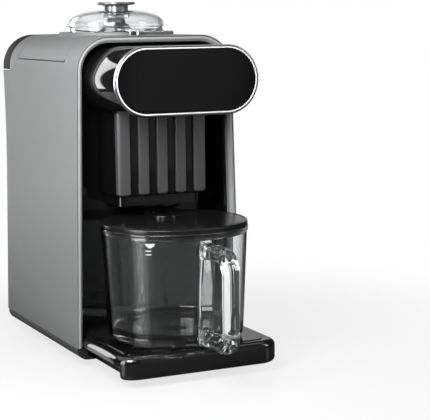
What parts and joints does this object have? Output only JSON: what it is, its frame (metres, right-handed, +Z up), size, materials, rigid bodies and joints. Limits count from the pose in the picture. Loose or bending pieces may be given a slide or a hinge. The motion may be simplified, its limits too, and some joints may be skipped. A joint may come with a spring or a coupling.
{
  "type": "soy milk maker",
  "caption": "Countertop soy milk maker: upright shell, blending chamber with a clear lid on top, touch head over an outlet column, glass jug on a pull-out drip drawer, water tank behind.",
  "frame": {"origin": "centre of the footprint, with the jug and its handle in place, on the surface that the feet stand on", "axes": "+X to the right as seen from the front, +Y to the back, +Z up"},
  "size_m": [0.1862, 0.415, 0.3714],
  "materials": {
    "dark_plastic": "satin black",
    "gloss_black": "gloss black",
    "foot_rubber": "matt",
    "screw_steel": "zinc plated",
    "shell_metal": "silver grey metallic",
    "frame_metal": "darker silver grey",
    "bright_trim": "polished",
    "panel_glass": "black glass",
    "board_green": "circuit board",
    "steel": "brushed",
    "silicone": "translucent",
    "seal_black": "matt",
    "cast_grey": "cast",
    "copper": "enamelled copper",
    "core_iron": "laminated",
    "grey_plastic": "satin",
    "white_plastic": "satin",
    "tank_plastic": "smoked clear plastic",
    "clear_plastic": "clear plastic",
    "clear_glass": "clear glass",
    "knob_grey": "grey metallic plastic"
  },
  "bodies": {
    "machine": {"base_chassis": "dark_plastic", "feet": "foot_rubber", "base_screws": "screw_steel", "power_inlet": "gloss_black", "outer_shell": "shell_metal", "front_frame": "frame_metal", "front_fascia": "gloss_black", "rear_bulkhead": "dark_plastic", "rear_panel": "dark_plastic", "top_cover": "shell_metal", "head_housing": "gloss_black", "head_bezel": "bright_trim", "touch_panel": "panel_glass", "control_board": "board_green", "rib_column": "gloss_black", "outlet_housing": "gloss_black", "outlet_nozzle": "grey_plastic", "drain_valve": "white_plastic", "drain_hose": "silicone", "grinding_chamber": "steel", "chamber_base": "cast_grey", "shaft_seal": "seal_black", "bearings": "screw_steel", "motor_frame": "cast_grey", "motor_case": "steel", "motor_screws": "screw_steel", "stator": "copper", "heater": "cast_grey", "water_pump": "grey_plastic", "tank_hose": "silicone", "heater_hose": "silicone", "steam_hose": "silicone", "power_board": "board_green"},
    "spindle": {"rotor": "core_iron", "drive_shaft": "steel", "cooling_fan": "grey_plastic", "blade": "steel", "blade_nut": "steel"},
    "tank": {"water_tank": "tank_plastic", "tank_valve": "white_plastic"},
    "tank_cap": {"tank_lid": "dark_plastic", "tank_seal": "seal_black"},
    "chamber_cover": {"chamber_lid": "clear_plastic", "lid_knob": "knob_grey", "knob_nut": "steel", "lid_gasket": "silicone", "interlock_magnet": "dark_plastic"},
    "drawer": {"drip_tray": "gloss_black", "drip_cover": "gloss_black"},
    "jug": {"jug_glass": "clear_glass", "jug_handle": "clear_plastic"},
    "jug_cover": {"jug_lid": "dark_plastic", "jug_lid_gasket": "silicone"}
  },
  "joints": [
    {"name": "blade_spin", "type": "hinge", "parent": "machine", "child": "spindle", "pos_m": [0, 0.07142, 0.2], "axis": [0, 0, 1], "continuous": true},
    {"name": "chamber_lid_lift", "type": "slide", "parent": "machine", "child": "chamber_cover", "axis": [0, 0, 1], "range_m": [0, 0.06]},
    {"name": "drawer_slide", "type": "slide", "parent": "machine", "child": "drawer", "axis": [0, -1, 0], "range_m": [0, 0.1]},
    {"name": "jug_slide", "type": "slide", "parent": "drawer", "child": "jug", "axis": [0, -1, 0], "range_m": [0, 0.15]},
    {"name": "jug_lid_lift", "type": "slide", "parent": "jug", "child": "jug_cover", "axis": [0, 0, 1], "range_m": [0, 0.006]},
    {"name": "tank_slide", "type": "slide", "parent": "machine", "child": "tank", "axis": [0, 1, 0], "range_m": [0, 0.06]},
    {"name": "tank_cap_lift", "type": "slide", "parent": "tank", "child": "tank_cap", "axis": [0, 0, 1], "range_m": [0, 0.03]}
  ]
}
